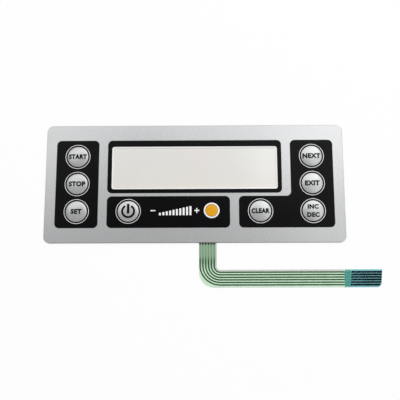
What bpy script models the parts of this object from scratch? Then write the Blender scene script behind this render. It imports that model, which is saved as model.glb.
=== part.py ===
"""A membrane keypad: eight embossed keys and a display window on a laminate of thin films.

Units are metres. The origin is the middle of the panel's back, on the release liner. +Z comes
out of the front, +X runs along the panel, and the circuit tail leaves towards -Y.
"""

from math import acos, asin, atan2, ceil, cos, pi, radians, sin, tan

import bmesh
import bpy
from mathutils import Vector

MM = 0.001

# The panel's outline
PANEL_LENGTH = 120.0 * MM
PANEL_WIDTH = 48.3 * MM
PANEL_CORNER = 2.3 * MM

# The laminate, from the back to the front
LINER_THICKNESS = 0.10 * MM
REAR_ADHESIVE_THICKNESS = 0.10 * MM
CIRCUIT_THICKNESS = 0.125 * MM
CONDUCTOR_THICKNESS = 0.02 * MM
SPACER_THICKNESS = 0.40 * MM
OVERLAY_ADHESIVE_THICKNESS = 0.05 * MM
OVERLAY_THICKNESS = 0.20 * MM
PRINT_THICKNESS = 0.04 * MM
BOND_GAP = 0.01 * MM  # between one layer and the next

# The black print on the overlay
SIDE_MARGIN = 4.15 * MM
PRINT_DROP = 0.15 * MM  # how far the print's middle lies below the panel's
SIDE_BLOCK_LENGTH = 17.2 * MM
BLOCK_GAP = 3.55 * MM
ROW_GAP = 1.25 * MM
BLOCK_CORNER = 1.9 * MM

# The display window
BORDER_SIDE = 1.75 * MM
BORDER_TOP = 2.65 * MM
BORDER_BOTTOM = 1.68 * MM
WINDOW_RIM = 0.40 * MM  # the bare strip between the black border and the opening
WINDOW_CORNER = 0.9 * MM
WINDOW_LAP = 0.80 * MM  # the window's bonded edge behind the overlay
WINDOW_THICKNESS = 0.20 * MM
WINDOW_CLEARANCE = 0.15 * MM
REAR_WINDOW_LAP = 0.50 * MM

# The keys
KEY_FACE_RADIUS = 4.22 * MM
BLACK_RING_WIDTH = 0.53 * MM
SILVER_RING_WIDTH = 0.40 * MM
KEY_GAP = 1.0 * MM  # from a silver ring to the next one, and to the lower blocks' upper edge
KEY_END_MARGIN = 1.6 * MM  # from a silver ring to the near end of its block
LOWER_KEY_INSET = 8.6 * MM
ENTER_KEY_PITCH = 20.95 * MM  # from the enter key to the right-hand column
EMBOSS_HEIGHT = 0.38 * MM
EMBOSS_FULLNESS = 0.75  # 1 is a parabola, and less is a fuller pillow
PRINT_CLEARANCE = 0.03 * MM

# The snap domes and what presses them
KEY_TRAVEL = 0.25 * MM
DOME_RIM_INSET = 0.12 * MM  # from the key's edge
DOME_SHEET = 0.07 * MM
DOME_CLEARANCE = 0.11 * MM  # what is left under a dome's crown when the key is down
DOME_HOLE_CLEARANCE = 0.35 * MM
AIR_CHANNEL_WIDTH = 1.6 * MM
ACTUATOR_RADIUS = 2.5 * MM
ACTUATOR_CHAMFER = 0.12 * MM
ACTUATOR_CLEARANCE = 0.02 * MM
CONTACT_PAD_RADIUS = 1.1 * MM
FOOT_CONTACT_INSET = 0.3 * MM  # from the dome's rim to the middle of the pad under its foot

# The circuit tail
TAIL_X = 5.25 * MM
TAIL_DROP = 14.2 * MM  # from the panel's edge to the middle of the tail's long run
TAIL_END_X = 73.3 * MM
TAIL_OUTER_BEND = 6.1 * MM
TAIL_INNER_BEND = 1.3 * MM
TAIL_ROOT_FILLET = 0.5 * MM
TAIL_END_SKEW = 0.75 * MM
TAIL_END_CHAMFER = 1.0 * MM

# The printed conductors and the tail's end
CONDUCTORS = 6
CONDUCTOR_WIDTH = 0.56 * MM
CONDUCTOR_PITCH = 1.0 * MM
DROP_PITCH_GAIN = 0.11 * MM  # how much further apart the lines are on the drop
DROP_SHIFT = 0.33 * MM  # the lines lie towards the outer side of the drop
BEND_LEAD = 0.3 * MM  # the lines start to bend this much before the film's edge does
BUS_MARGIN = 1.6 * MM
BUS_PITCH = 1.15 * MM
CONDUCTOR_END_GAP = 0.12 * MM
STIFFENER_LENGTH = 14.7 * MM
STIFFENER_THICKNESS = 0.20 * MM
CONTACT_LENGTH = 11.95 * MM
CONTACT_WIDTH = 0.78 * MM
CONTACT_END_GAP = 0.06 * MM

# Smoothness
FACET_SAG = 0.03 * MM  # how far a rounded corner's facets may lie inside its arc
CIRCLE_STEPS = 24
INNER_CIRCLE_STEPS = 16
BEND_STEPS = 14
EMBOSS_RINGS = (0.93, 0.75, 0.42)  # shares of the key's radius
DOME_RINGS = (0.72, 0.36)

# Where each layer's underside lies
ADHESIVE_Z = LINER_THICKNESS + BOND_GAP
CIRCUIT_Z = ADHESIVE_Z + REAR_ADHESIVE_THICKNESS + BOND_GAP
CONDUCTOR_Z = CIRCUIT_Z + CIRCUIT_THICKNESS + BOND_GAP
SPACER_Z = CONDUCTOR_Z + CONDUCTOR_THICKNESS + BOND_GAP
OVERLAY_ADHESIVE_Z = SPACER_Z + SPACER_THICKNESS + BOND_GAP
OVERLAY_Z = OVERLAY_ADHESIVE_Z + OVERLAY_ADHESIVE_THICKNESS + BOND_GAP
PRINT_Z = OVERLAY_Z + OVERLAY_THICKNESS + BOND_GAP
WINDOW_Z = OVERLAY_Z - BOND_GAP - WINDOW_THICKNESS
STIFFENER_Z = CIRCUIT_Z - BOND_GAP - STIFFENER_THICKNESS

# What the rings, the rows, the domes and the tail take from those sizes
KEY_RING_INNER_RADIUS = KEY_FACE_RADIUS + BLACK_RING_WIDTH
KEY_RING_OUTER_RADIUS = KEY_RING_INNER_RADIUS + SILVER_RING_WIDTH
KEY_ROW_PITCH = 2 * KEY_RING_OUTER_RADIUS + KEY_GAP
DOME_RADIUS = KEY_FACE_RADIUS - DOME_RIM_INSET
DOME_HOLE_RADIUS = DOME_RADIUS + DOME_HOLE_CLEARANCE
DOME_HEIGHT = DOME_SHEET + KEY_TRAVEL + DOME_CLEARANCE
TAIL_WIDTH = (CONDUCTORS + 1) * CONDUCTOR_PITCH

# Where the blocks, the keys and the tail lie
KEY_MIDDLE_Y = -PRINT_DROP
TOP = KEY_MIDDLE_Y + KEY_ROW_PITCH + KEY_RING_OUTER_RADIUS + KEY_END_MARGIN
BOTTOM = 2 * KEY_MIDDLE_Y - TOP
LOWER_TOP = KEY_MIDDLE_Y - KEY_ROW_PITCH + KEY_RING_OUTER_RADIUS + KEY_GAP
DISPLAY_BOTTOM = LOWER_TOP + ROW_GAP
RIGHT = PANEL_LENGTH / 2 - SIDE_MARGIN
SIDE_BLOCK_X = RIGHT - SIDE_BLOCK_LENGTH
DISPLAY_X = SIDE_BLOCK_X - BLOCK_GAP
KEY_COLUMN_X = RIGHT - SIDE_BLOCK_LENGTH / 2
ENTER_KEY_X = KEY_COLUMN_X - ENTER_KEY_PITCH
ARM_X = ENTER_KEY_X - LOWER_KEY_INSET
CENTRE_BLOCK_RIGHT = ARM_X - BLOCK_GAP
PANEL_FRONT_EDGE = -PANEL_WIDTH / 2
TAIL_Y = PANEL_FRONT_EDGE - TAIL_DROP

KEYS = {
    "left_top": (-KEY_COLUMN_X, KEY_MIDDLE_Y + KEY_ROW_PITCH),
    "left_middle": (-KEY_COLUMN_X, KEY_MIDDLE_Y),
    "left_bottom": (-KEY_COLUMN_X, KEY_MIDDLE_Y - KEY_ROW_PITCH),
    "power": (LOWER_KEY_INSET - DISPLAY_X, KEY_MIDDLE_Y - KEY_ROW_PITCH),
    "enter": (ENTER_KEY_X, KEY_MIDDLE_Y - KEY_ROW_PITCH),
    "right_bottom": (KEY_COLUMN_X, KEY_MIDDLE_Y - KEY_ROW_PITCH),
    "right_middle": (KEY_COLUMN_X, KEY_MIDDLE_Y),
    "right_top": (KEY_COLUMN_X, KEY_MIDDLE_Y + KEY_ROW_PITCH),
}
LEFT_KEYS = ("left_top", "left_middle", "left_bottom", "power")
RIGHT_KEYS = ("enter", "right_bottom", "right_middle", "right_top")

# Where a dome rests, and where the actuator rests on the dome
DOME_Z = CONDUCTOR_Z + CONDUCTOR_THICKNESS + BOND_GAP
ACTUATOR_Z = DOME_Z + DOME_HEIGHT + ACTUATOR_CLEARANCE


def key_point(name):
    return Vector(KEYS[name])


def material(name, colour, roughness, metallic=0.0, alpha=1.0):
    made = bpy.data.materials.new(name)
    made.use_nodes = True
    shader = made.node_tree.nodes["Principled BSDF"]
    shader.inputs["Base Color"].default_value = (*colour, 1.0)
    shader.inputs["Roughness"].default_value = roughness
    shader.inputs["Metallic"].default_value = metallic
    shader.inputs["Alpha"].default_value = alpha
    made.diffuse_color = (*colour, alpha)
    return made


def arc(centre, radius, start, end, steps):
    """Points along an arc from one angle to another."""
    turns = (start + (end - start) * i / steps for i in range(steps + 1))
    return [centre + Vector((cos(turn), sin(turn))) * radius for turn in turns]


def circle(centre, radius, steps=CIRCLE_STEPS):
    return arc(centre, radius, 0, 2 * pi, steps)[:-1]


def round_corner(before, corner, after, radius):
    """The arc that rounds one corner, whichever way the corner turns."""
    to_before = (before - corner).normalized()
    to_after = (after - corner).normalized()
    half = to_before.angle(to_after) / 2
    centre = corner + (to_before + to_after).normalized() * radius / sin(half)
    start = corner + to_before * radius / tan(half) - centre
    end = corner + to_after * radius / tan(half) - centre
    first = atan2(start.y, start.x)
    sweep = (atan2(end.y, end.x) - first + pi) % (2 * pi) - pi
    facet = 2 * acos(1 - FACET_SAG / radius)
    return arc(centre, radius, first, first + sweep, ceil(abs(sweep) / facet))


def rounded(corners):
    """A closed outline from (x, y, radius) corners. A radius of 0 stays sharp."""
    spots = [Vector((x, y)) for x, y, _ in corners]
    outline = []
    for i, (_, _, radius) in enumerate(corners):
        if radius > 0:
            after = spots[(i + 1) % len(spots)]
            outline += round_corner(spots[i - 1], spots[i], after, radius)
        else:
            outline.append(spots[i])
    return outline


def rectangle(left, bottom, right, top, radius):
    return rounded(
        [(left, bottom, radius), (right, bottom, radius), (right, top, radius), (left, top, radius)]
    )


def window_outline(grow):
    """The window's opening, grown on every side."""
    inset = WINDOW_RIM - grow
    side = DISPLAY_X - BORDER_SIDE - inset
    bottom = DISPLAY_BOTTOM + BORDER_BOTTOM + inset
    top = TOP - BORDER_TOP - inset
    return rectangle(-side, bottom, side, top, WINDOW_CORNER + max(grow, 0))


def panel_outline():
    x, y = PANEL_LENGTH / 2, PANEL_WIDTH / 2
    return rectangle(-x, -y, x, y, PANEL_CORNER)


def tail_edge_x(y, from_end):
    """Where a cut across the tail's end lies at one height. The cuts are a little skewed."""
    return TAIL_END_X - from_end + (y - TAIL_Y) * TAIL_END_SKEW / TAIL_WIDTH


def tail_end_corners():
    """The corners of the tail's free end, from its lower edge to its upper one."""
    low, high = TAIL_Y - TAIL_WIDTH / 2, TAIL_Y + TAIL_WIDTH / 2
    return [
        (tail_edge_x(low, TAIL_END_CHAMFER), low, 0),
        (tail_edge_x(low + TAIL_END_CHAMFER, 0), low + TAIL_END_CHAMFER, 0),
        (tail_edge_x(high, 0), high, 0),
    ]


def circuit_outline():
    """The circuit film: the panel's own outline with the bent tail as one piece with it."""
    x, y = PANEL_LENGTH / 2, PANEL_WIDTH / 2
    left, right = TAIL_X - TAIL_WIDTH / 2, TAIL_X + TAIL_WIDTH / 2
    low, high = TAIL_Y - TAIL_WIDTH / 2, TAIL_Y + TAIL_WIDTH / 2
    return rounded(
        [
            (-x, -y, PANEL_CORNER),
            (left, -y, TAIL_ROOT_FILLET),
            (left, low, TAIL_OUTER_BEND),
            *tail_end_corners(),
            (right, high, TAIL_INNER_BEND),
            (right, -y, TAIL_ROOT_FILLET),
            (x, -y, PANEL_CORNER),
            (x, y, PANEL_CORNER),
            (-x, y, PANEL_CORNER),
        ]
    )


def linked_holes(centres):
    """One opening of round dome holes in a row, joined by air channels."""
    half = asin(AIR_CHANNEL_WIDTH / 2 / DOME_HOLE_RADIUS)
    stops = centres + centres[-2:0:-1]
    outline = []
    for i, centre in enumerate(stops):
        to_before = stops[i - 1] - centre
        to_after = stops[(i + 1) % len(stops)] - centre
        start = atan2(to_before.y, to_before.x) + half
        end = atan2(to_after.y, to_after.x) - half
        sweep = (end - start) % (2 * pi)
        steps = ceil(sweep / (2 * pi / INNER_CIRCLE_STEPS))
        outline += arc(centre, DOME_HOLE_RADIUS, start, start + sweep, steps)
    return outline


def finished_mesh(name, bm, finish):
    """Turns a closed form's faces out, and shades its round parts smooth."""
    bmesh.ops.recalc_face_normals(bm, faces=bm.faces[:])
    mesh = bpy.data.meshes.new(name)
    bm.to_mesh(mesh)
    bm.free()
    mesh.materials.append(finish)
    mesh.shade_smooth()
    mesh.set_sharp_from_angle(angle=radians(25))
    return mesh


def place(name, mesh, location, parent):
    """Links an object for a mesh, which several objects may share."""
    made = bpy.data.objects.new(name, mesh)
    made.location = location
    made.parent = parent
    bpy.context.collection.objects.link(made)


def add_layer(name, bm, finish, root):
    """Links a layer of the laminate, whose mesh is already where it lies."""
    place(name, finished_mesh(name, bm, finish), (0, 0, 0), root)


def add_loop(bm, outline, z):
    """The vertices and the edges of one closed outline at one height."""
    verts = [bm.verts.new((point.x, point.y, z)) for point in outline]
    edges = [bm.edges.new((verts[i - 1], verts[i])) for i in range(len(verts))]
    return verts, edges


def bridge(bm, outer, inner):
    """A band of faces between two rings with as many vertices."""
    for i in range(len(outer)):
        bm.faces.new((outer[i - 1], outer[i], inner[i], inner[i - 1]))


def close(bm, ring, centre):
    """A fan of faces from a ring to its middle point."""
    for i in range(len(ring)):
        bm.faces.new((ring[i - 1], ring[i], centre))


def thicken(bm, thickness):
    """Turns an open sheet into a closed solid by moving a copy of it straight up."""
    copied = bmesh.ops.extrude_face_region(bm, geom=bm.faces[:])["geom"]
    raised = [item for item in copied if isinstance(item, bmesh.types.BMVert)]
    bmesh.ops.translate(bm, verts=raised, vec=(0, 0, thickness))


def sheet(outline, holes, bottom, thickness, bosses=()):
    """A flat film with openings, and a pillow embossed at each centre in bosses."""
    bm = bmesh.new()
    edges = add_loop(bm, outline, bottom)[1]
    for hole in holes:
        edges += add_loop(bm, hole, bottom)[1]
    feet = []
    for centre in bosses:
        foot, foot_edges = add_loop(bm, circle(centre, KEY_FACE_RADIUS), bottom)
        edges += foot_edges
        feet.append((centre, foot))
    bmesh.ops.triangle_fill(bm, use_beauty=True, edges=edges, normal=(0, 0, 1))
    for centre, foot in feet:
        emboss(bm, centre, foot, bottom)
    thicken(bm, thickness)
    return bm


def emboss_rise(share):
    """An embossed key's height over the film, at a share of its radius."""
    return EMBOSS_HEIGHT * (1 - share**2) ** EMBOSS_FULLNESS


def emboss(bm, centre, foot, z):
    """Raises one key from its foot ring, in rings that crown towards the middle."""
    outer = foot
    for share in EMBOSS_RINGS:
        points = circle(centre, KEY_FACE_RADIUS * share)
        ring = [bm.verts.new((p.x, p.y, z + emboss_rise(share))) for p in points]
        bridge(bm, outer, ring)
        outer = ring
    close(bm, outer, bm.verts.new((centre.x, centre.y, z + EMBOSS_HEIGHT)))


def make_back(finishes, root):
    """The liner and the adhesive that fixes the keypad to its housing."""
    liner = sheet(panel_outline(), [], 0.0, LINER_THICKNESS)
    add_layer("release_liner", liner, finishes["liner"], root)
    opening = window_outline(REAR_WINDOW_LAP)
    adhesive = sheet(panel_outline(), [opening], ADHESIVE_Z, REAR_ADHESIVE_THICKNESS)
    add_layer("rear_adhesive", adhesive, finishes["adhesive"], root)


def make_laminate(finishes, root):
    """The spacer round the domes, the overlay that closes it, and the display window."""
    pocket = window_outline(WINDOW_LAP + WINDOW_CLEARANCE)
    holes = [linked_holes([key_point(name) for name in row]) for row in (LEFT_KEYS, RIGHT_KEYS)]
    spacer = sheet(panel_outline(), [pocket, *holes], SPACER_Z, SPACER_THICKNESS)
    add_layer("dome_spacer", spacer, finishes["spacer"], root)

    centres = [key_point(name) for name in KEYS]
    holes = [circle(centre, DOME_HOLE_RADIUS, INNER_CIRCLE_STEPS) for centre in centres]
    adhesive = sheet(
        panel_outline(), [pocket, *holes], OVERLAY_ADHESIVE_Z, OVERLAY_ADHESIVE_THICKNESS
    )
    add_layer("overlay_adhesive", adhesive, finishes["adhesive"], root)

    window = sheet(window_outline(WINDOW_LAP), [], WINDOW_Z, WINDOW_THICKNESS)
    add_layer("display_window", window, finishes["window"], root)
    overlay = sheet(panel_outline(), [window_outline(0)], OVERLAY_Z, OVERLAY_THICKNESS, centres)
    add_layer("overlay_film", overlay, finishes["silver"], root)


def key_holes(names):
    return [circle(key_point(name), KEY_RING_OUTER_RADIUS) for name in names]


def make_print(finishes, root):
    """The black fields, each with a round opening that leaves a silver ring round its keys."""
    blocks = {
        "left_key_print": (
            rectangle(-RIGHT, BOTTOM, -SIDE_BLOCK_X, TOP, BLOCK_CORNER),
            key_holes(("left_top", "left_middle", "left_bottom")),
        ),
        "display_border_print": (
            rectangle(-DISPLAY_X, DISPLAY_BOTTOM, DISPLAY_X, TOP, BLOCK_CORNER),
            [window_outline(WINDOW_RIM)],
        ),
        "centre_print": (
            rectangle(-DISPLAY_X, BOTTOM, CENTRE_BLOCK_RIGHT, LOWER_TOP, BLOCK_CORNER),
            key_holes(("power",)),
        ),
        "right_key_print": (
            rounded(
                [
                    (ARM_X, BOTTOM, BLOCK_CORNER),
                    (RIGHT, BOTTOM, BLOCK_CORNER),
                    (RIGHT, TOP, BLOCK_CORNER),
                    (SIDE_BLOCK_X, TOP, BLOCK_CORNER),
                    (SIDE_BLOCK_X, LOWER_TOP, BLOCK_CORNER),
                    (ARM_X, LOWER_TOP, BLOCK_CORNER),
                ]
            ),
            key_holes(RIGHT_KEYS),
        ),
    }
    for name, (outline, holes) in blocks.items():
        bm = sheet(outline, holes, PRINT_Z, PRINT_THICKNESS)
        add_layer(name, bm, finishes["black"], root)


def ring_mesh(finish):
    """The black ring between a key's face and its silver ring, about its own centre."""
    middle = Vector((0, 0))
    hole = circle(middle, KEY_FACE_RADIUS + PRINT_CLEARANCE)
    bm = sheet(circle(middle, KEY_RING_INNER_RADIUS), [hole], 0.0, PRINT_THICKNESS)
    return finished_mesh("key_ring", bm, finish)


def dome_mesh(finish):
    """A snap dome: a thin metal cap that rests on its rim."""
    bm = bmesh.new()
    middle = Vector((0, 0))
    crown = DOME_HEIGHT - DOME_SHEET
    outer, _ = add_loop(bm, circle(middle, DOME_RADIUS, INNER_CIRCLE_STEPS), 0.0)
    for share in DOME_RINGS:
        points = circle(middle, DOME_RADIUS * share, INNER_CIRCLE_STEPS)
        ring = [bm.verts.new((p.x, p.y, crown * (1 - share**2))) for p in points]
        bridge(bm, outer, ring)
        outer = ring
    close(bm, outer, bm.verts.new((0, 0, crown)))
    thicken(bm, DOME_SHEET)
    return finished_mesh("snap_dome", bm, finish)


def actuator_height():
    """What fits between the dome's crown and the faceted inside of the embossed key."""
    rim = ACTUATOR_RADIUS / KEY_FACE_RADIUS
    outer = min(share for share in (1.0, *EMBOSS_RINGS) if share >= rim)
    inner = max(share for share in (*EMBOSS_RINGS, 0.0) if share < rim)
    along = (outer - rim) / (outer - inner)
    ceiling = OVERLAY_Z + emboss_rise(outer) * (1 - along) + emboss_rise(inner) * along
    return ceiling - ACTUATOR_CLEARANCE - ACTUATOR_Z


def actuator_mesh(finish):
    """A stiff disc with a bevelled upper edge, which the finger presses through the film."""
    bm = bmesh.new()
    middle = Vector((0, 0))
    height = actuator_height()
    side = circle(middle, ACTUATOR_RADIUS, INNER_CIRCLE_STEPS)
    base, _ = add_loop(bm, side, 0.0)
    shoulder, _ = add_loop(bm, side, height - ACTUATOR_CHAMFER)
    face = circle(middle, ACTUATOR_RADIUS - ACTUATOR_CHAMFER, INNER_CIRCLE_STEPS)
    top, _ = add_loop(bm, face, height)
    bridge(bm, base, shoulder)
    bridge(bm, shoulder, top)
    bm.faces.new(base)
    bm.faces.new(top)
    return finished_mesh("actuator", bm, finish)


def make_keys(finishes, root):
    """A ring, a snap dome and an actuator for each key, on the key's own axis."""
    ring = ring_mesh(finishes["black"])
    dome = dome_mesh(finishes["dome"])
    actuator = actuator_mesh(finishes["actuator"])
    for name, (x, y) in KEYS.items():
        place(f"{name}_key_ring", ring, (x, y, PRINT_Z), root)
        place(f"{name}_dome", dome, (x, y, DOME_Z), root)
        place(f"{name}_actuator", actuator, (x, y, ACTUATOR_Z), root)


def make_circuit(finishes, root):
    """The circuit film with its tail, and the stiffener behind the tail's end."""
    opening = window_outline(REAR_WINDOW_LAP)
    film = sheet(circuit_outline(), [opening], CIRCUIT_Z, CIRCUIT_THICKNESS)
    add_layer("circuit_film", film, finishes["circuit"], root)

    low, high = TAIL_Y - TAIL_WIDTH / 2, TAIL_Y + TAIL_WIDTH / 2
    outline = rounded(
        [
            (tail_edge_x(low, STIFFENER_LENGTH), low, 0),
            *tail_end_corners(),
            (tail_edge_x(high, STIFFENER_LENGTH), high, 0),
        ]
    )
    stiffener = sheet(outline, [], STIFFENER_Z, STIFFENER_THICKNESS)
    add_layer("tail_stiffener", stiffener, finishes["stiffener"], root)


def drop_x(i):
    """The middle of one conductor on the tail's drop, counted from the outer side."""
    pitch = CONDUCTOR_PITCH + DROP_PITCH_GAIN
    return TAIL_X - DROP_SHIFT + (i - (CONDUCTORS - 1) / 2) * pitch


def run_y(i):
    """The middle of the same conductor on the tail's long run."""
    return TAIL_Y + (i - (CONDUCTORS - 1) / 2) * CONDUCTOR_PITCH


def conductor_start(i):
    """The contact under a dome where one conductor starts, and its bus line's height."""
    foot = Vector((DOME_RADIUS - FOOT_CONTACT_INSET, 0))
    starts = (
        (key_point("left_bottom"), 0),
        (key_point("power"), 1),
        (key_point("power") + foot, 2),
        (key_point("enter") - foot, 2),
        (key_point("enter"), 1),
        (key_point("right_bottom"), 0),
    )
    spot, bus = starts[i]
    return spot, PANEL_FRONT_EDGE + BUS_MARGIN + bus * BUS_PITCH


def conductor_path(i):
    """One conductor's middle line, from its contact pad to the tail's end.

    On the bend the lines keep their order and spacing about one shared centre.
    """
    pad, bus_y = conductor_start(i)
    x, y = drop_x(i), run_y(i)
    bend_x = TAIL_X + TAIL_WIDTH / 2 + TAIL_INNER_BEND
    bend_y = TAIL_Y + TAIL_WIDTH / 2 + TAIL_INNER_BEND + BEND_LEAD
    turn = CONDUCTOR_WIDTH
    bus_start = round_corner(pad, Vector((pad.x, bus_y)), Vector((x, bus_y)), turn)
    bus_end = round_corner(Vector((pad.x, bus_y)), Vector((x, bus_y)), Vector((x, bend_y)), turn)
    bend = []
    for step in range(BEND_STEPS + 1):
        angle = step * pi / 2 / BEND_STEPS
        across, down = (bend_x - x) * cos(angle), (bend_y - y) * sin(angle)
        bend.append(Vector((bend_x - across, bend_y - down)))
    end = Vector((tail_edge_x(y - CONDUCTOR_WIDTH / 2, conductor_end_gap(y)), y))
    return [pad, *bus_start, *bus_end, *bend, end]


def conductor_end_gap(y):
    """How far a line stops short of the tail's cut end, more where the corner is cut off."""
    above_edge = y - CONTACT_WIDTH / 2 - (TAIL_Y - TAIL_WIDTH / 2)
    return CONDUCTOR_END_GAP + max(TAIL_END_CHAMFER - above_edge, 0)


def ribbon(path, width):
    """The outline of a line of one width, with a round pad at its start."""
    half = width / 2
    left, right = [], []
    for i, point in enumerate(path):
        before, after = path[max(i - 1, 0)], path[min(i + 1, len(path) - 1)]
        along = (after - before).normalized()
        side = Vector((-along.y, along.x)) * half
        left.append(point + side)
        right.append(point - side)
    heading = path[1] - path[0]
    facing = atan2(heading.y, heading.x)
    half_mouth = asin(half / CONTACT_PAD_RADIUS)
    last = facing + 2 * pi - half_mouth
    pad = arc(path[0], CONTACT_PAD_RADIUS, facing + half_mouth, last, INNER_CIRCLE_STEPS)
    return pad + right[1:] + left[:0:-1]


def make_conductors(finishes, root):
    """The silver lines from the contact pads to the tail's end, each under its carbon contact."""
    for i in range(CONDUCTORS):
        line = ribbon(conductor_path(i), CONDUCTOR_WIDTH)
        conductor = sheet(line, [], CONDUCTOR_Z, CONDUCTOR_THICKNESS)
        add_layer(f"conductor_{i + 1}", conductor, finishes["conductor"], root)

        low, high = run_y(i) - CONTACT_WIDTH / 2, run_y(i) + CONTACT_WIDTH / 2
        gap = conductor_end_gap(run_y(i)) - CONDUCTOR_END_GAP + CONTACT_END_GAP
        corners = [
            (tail_edge_x(low, CONTACT_LENGTH), low, 0),
            (tail_edge_x(low, gap), low, 0),
            (tail_edge_x(high, gap), high, 0),
            (tail_edge_x(high, CONTACT_LENGTH), high, 0),
        ]
        contact = sheet(rounded(corners), [], SPACER_Z, CONDUCTOR_THICKNESS)
        add_layer(f"tail_contact_{i + 1}", contact, finishes["carbon"], root)


def make_finishes():
    return {
        "silver": material("satin_silver", (0.55, 0.56, 0.57), 0.38, metallic=0.55),
        "black": material("black_ink", (0.008, 0.008, 0.010), 0.45),
        "window": material("clear_window", (0.86, 0.85, 0.81), 0.25, alpha=0.45),
        "liner": material("liner_paper", (0.80, 0.78, 0.73), 0.75),
        "adhesive": material("adhesive", (0.70, 0.70, 0.66), 0.55),
        "spacer": material("spacer_film", (0.75, 0.76, 0.76), 0.50),
        "circuit": material("green_circuit_film", (0.38, 0.62, 0.42), 0.40),
        "conductor": material("coated_silver_ink", (0.08, 0.20, 0.10), 0.45),
        "stiffener": material("blue_stiffener", (0.08, 0.34, 0.40), 0.45),
        "carbon": material("carbon_ink", (0.004, 0.008, 0.016), 0.50),
        "dome": material("dome_steel", (0.62, 0.60, 0.56), 0.25, metallic=1.0),
        "actuator": material("actuator_plastic", (0.82, 0.82, 0.80), 0.50),
    }


def main():
    for old in list(bpy.data.objects):
        bpy.data.objects.remove(old, do_unlink=True)
    root = bpy.data.objects.new("membrane_keypad", None)
    bpy.context.collection.objects.link(root)
    finishes = make_finishes()
    make_back(finishes, root)
    make_circuit(finishes, root)
    make_conductors(finishes, root)
    make_laminate(finishes, root)
    make_print(finishes, root)
    make_keys(finishes, root)


main()
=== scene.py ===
import math

import bmesh
import bpy
from bpy.props import FloatProperty, FloatVectorProperty, PointerProperty
from mathutils import Matrix, Vector


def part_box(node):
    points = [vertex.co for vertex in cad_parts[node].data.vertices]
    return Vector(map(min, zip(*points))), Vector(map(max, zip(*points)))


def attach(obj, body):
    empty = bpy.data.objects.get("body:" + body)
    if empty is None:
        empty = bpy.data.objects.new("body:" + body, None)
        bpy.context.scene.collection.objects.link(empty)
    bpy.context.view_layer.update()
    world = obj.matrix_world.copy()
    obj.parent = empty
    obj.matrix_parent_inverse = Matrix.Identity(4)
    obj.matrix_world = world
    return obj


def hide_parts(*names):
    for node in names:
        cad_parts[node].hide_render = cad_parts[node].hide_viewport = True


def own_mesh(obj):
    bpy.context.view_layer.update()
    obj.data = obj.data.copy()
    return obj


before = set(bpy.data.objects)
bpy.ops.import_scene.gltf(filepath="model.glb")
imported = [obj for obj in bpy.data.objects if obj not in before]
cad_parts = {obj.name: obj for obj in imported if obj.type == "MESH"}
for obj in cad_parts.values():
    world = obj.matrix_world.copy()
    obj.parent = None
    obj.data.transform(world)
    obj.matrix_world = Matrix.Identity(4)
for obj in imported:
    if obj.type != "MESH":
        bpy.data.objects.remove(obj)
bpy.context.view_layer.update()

bl_info = {
    "name": "Membrane keypad",
    "version": (1, 0, 0),
    "blender": (4, 5, 0),
    "location": "3D View > Sidebar > Keypad",
    "description": "Embossed overlay, printed fields, legends and circuit tail of a membrane keypad",
    "category": "Object",
}

MM = 0.001
KEYS = ("left_top", "left_middle", "left_bottom", "power",
        "enter", "right_bottom", "right_middle", "right_top")
PRINTS = ("left_key_print", "display_border_print", "centre_print", "right_key_print")
LEGENDS = {
    "left_top": ("START",), "left_middle": ("STOP",), "left_bottom": ("SET",),
    "enter": ("CLEAR",), "right_bottom": ("INC", "DEC"),
    "right_middle": ("EXIT",), "right_top": ("NEXT",),
}


def box(node):
    """Lowest and highest corners of a CAD node, in millimetres."""
    low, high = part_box(node)
    return Vector(low) / MM, Vector(high) / MM


def key_centre(key):
    """Middle of a key on the panel, in millimetres."""
    low, high = box(f"{key}_key_ring")
    return (low.x + high.x) / 2, (low.y + high.y) / 2


# Heights and lengths, in millimetres unless the line says otherwise
PANEL_LOW, PANEL_HIGH = box("overlay_film")
BOND = 0.01  # the gap that stands for the bond between two layers
FILM_TOP = box("display_border_print")[0].z - BOND
FILM_BOTTOM = PANEL_LOW.z
FILM_ROUNDING = 0.03
EDGE_BAND = 0.08  # of the panel's outline, dark with the cut edge's colour and with painted shade
INK_BOTTOM, INK_TOP = FILM_TOP + 0.002, FILM_TOP + 0.03
WHITE_INK = 0.015  # thickness of the white signs
RIM_TOP = FILM_TOP + 0.02  # of the white line round the window
WHITE_WALL, WHITE_WALL_DROP = 0.03, 0.005  # of the white sheet down the window's cut wall, which is painted light over the wall's shade
RING_GAP = 0.03  # from a key's face to the black ring
KEY_POWER = 0.75  # of the curve that a key's face follows
ROW_STEP, ROW_CAPITAL = 3.3, 0.94  # a two-row legend's pitch, and its share of a single word's height
WINDOW_MARGINS = (1.75, 1.68, 2.65)  # the black border's width at the sides, below and above
CIRCUIT_MARGIN = 0.3  # from the border's inner edge out to the circuit film's opening

TAIL_LOW, TAIL_HIGH = (1.75, -41.85), (8.75, -34.85)  # outer and inner corner of the tail's bend
TAIL_MIDDLE = (TAIL_LOW[1] + TAIL_HIGH[1]) / 2
TAIL_SKEW = 0.75  # how far the tail's end leans along its width
TAIL_CHAMFER = 1.0
TAIL_BEND, TAIL_INNER_BEND, TAIL_ROOT = 6.1, 1.3, 0.5  # radii
CONTACT_PITCH = 1.0
COAT_END = 58.4  # where the green coat gives way to the blue-green end
COAT_MARGINS = {"left": 0.06, "low": 0.15, "right": 0.43, "high": 0.65}  # bare film beside the coat
COAT_BEND, COAT_INNER_BEND = 6.0, 1.8  # radii
COAT_INSIDE = -20.0  # how far up under the panel the coat reaches
COAT_BOTTOM, COAT_TOP = 0.0015, 0.0075  # over the circuit film

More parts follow.
